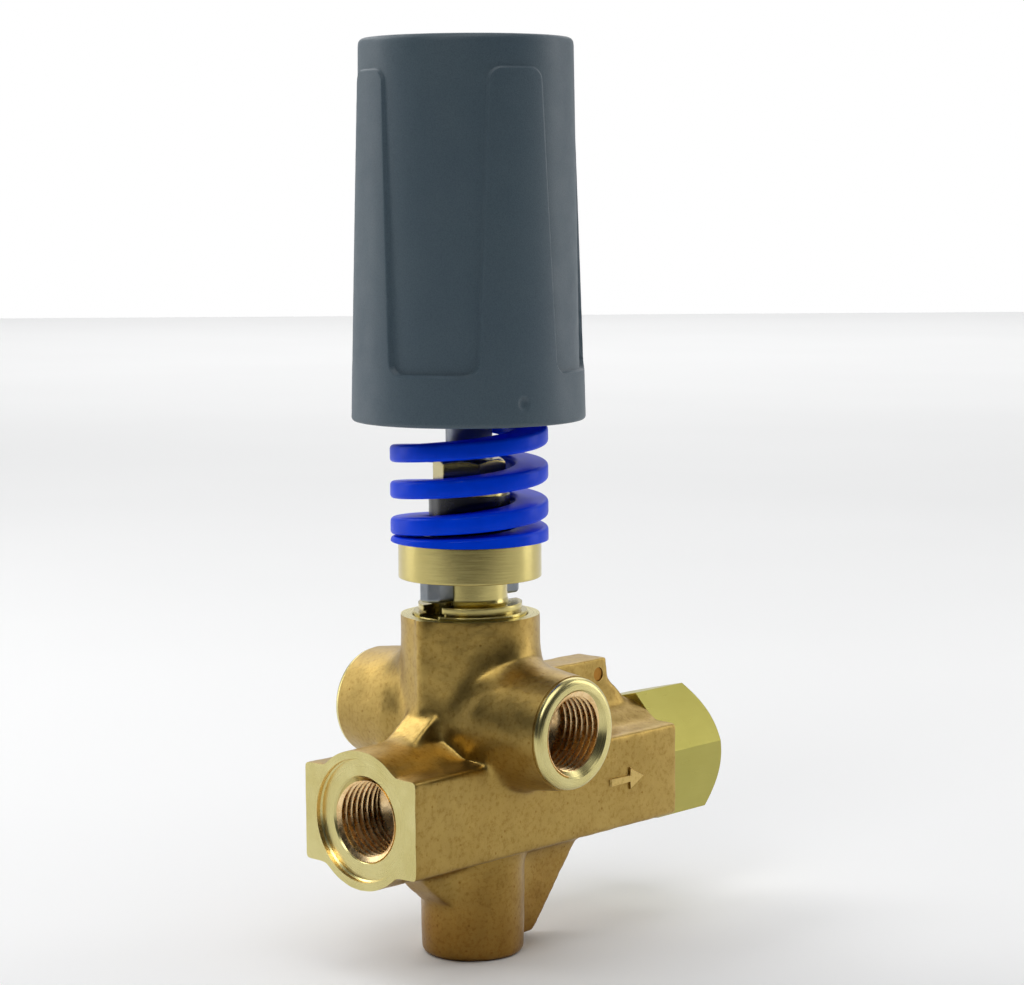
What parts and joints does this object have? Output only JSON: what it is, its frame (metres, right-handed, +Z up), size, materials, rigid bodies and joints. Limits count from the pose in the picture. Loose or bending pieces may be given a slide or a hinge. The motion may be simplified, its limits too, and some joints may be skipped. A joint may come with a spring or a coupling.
{
  "type": "pressure regulating valve",
  "caption": "Cast brass pressure regulating valve for a pressure washer pump, with threaded ports, an outlet check valve, a bypass ball valve, a die spring and a tall adjusting knob.",
  "frame": {"origin": "centre of the flat foot under the valve body", "axes": "+Z up along the knob and spring axis, -X towards the inlet port, +X towards the outlet port, bypass ports on -Y and +Y"},
  "size_m": [0.121, 0.0724, 0.2316],
  "materials": {
    "cast_brass": "cast, fine sand-blasted surface",
    "turned_brass": "turned",
    "adapter_brass": "drawn and turned",
    "rubber": "moulded",
    "stainless": "ground",
    "ball_steel": "polished",
    "ptfe": "white fluoropolymer",
    "zinc_steel": "zinc plated",
    "black_plastic": "smooth",
    "blue_spring": "gloss blue paint on spring steel",
    "spring_steel": "drawn wire",
    "grey_plastic": "fine-grained moulded plastic"
  },
  "bodies": {
    "valve": {"valve_body": "cast_brass", "pilot_plugs": "turned_brass", "piston_guide": "turned_brass", "guide_o_rings": "rubber", "stem_gland": "turned_brass", "stem_o_ring": "rubber", "bypass_seat": "stainless", "bypass_seat_o_ring": "rubber", "adjusting_stud": "zinc_steel", "stop_nut": "zinc_steel", "check_seat": "stainless", "check_seat_o_ring": "rubber", "check_guide": "turned_brass", "check_spring": "spring_steel", "main_spring": "blue_spring", "outlet_adapter": "adapter_brass", "outlet_adapter_o_ring": "rubber"},
    "plunger": {"piston_rod": "stainless", "piston_o_ring": "rubber", "piston_backup_rings": "ptfe", "ball_holder": "stainless", "bypass_ball": "ball_steel", "cross_key": "zinc_steel", "lower_spring_plate": "turned_brass", "guide_bush": "black_plastic"},
    "upper_plate": {"upper_spring_plate": "zinc_steel", "thrust_washer": "stainless"},
    "knob": {"knob": "grey_plastic", "knob_insert": "turned_brass", "knob_cap": "grey_plastic"},
    "check_valve": {"check_poppet": "turned_brass", "check_poppet_seal": "rubber"}
  },
  "joints": [
    {"name": "knob_travel", "type": "slide", "parent": "valve", "child": "upper_plate", "axis": [0, 0, 1], "range_m": [-0.015, 0], "deforming": ["main_spring"]},
    {"name": "knob_turn", "type": "hinge", "parent": "upper_plate", "child": "knob", "pos_m": [0, 0, 0.2], "axis": [0, 0, 1], "range_deg": [-3085.71, 0]},
    {"name": "plunger_lift", "type": "slide", "parent": "valve", "child": "plunger", "axis": [0, 0, 1], "range_m": [0, 0.003], "stiffness_N_per_m": 3000, "springref_m": -0.001, "deforming": ["main_spring"]},
    {"name": "check_lift", "type": "slide", "parent": "valve", "child": "check_valve", "axis": [1, 0, 0], "range_m": [0, 0.004], "stiffness_N_per_m": 300, "springref_m": -0.003, "deforming": ["check_spring"]}
  ],
  "couplings": [
    {"joint": "knob_travel", "follows": "knob_turn", "m_per_rad": 0.00027852}
  ]
}
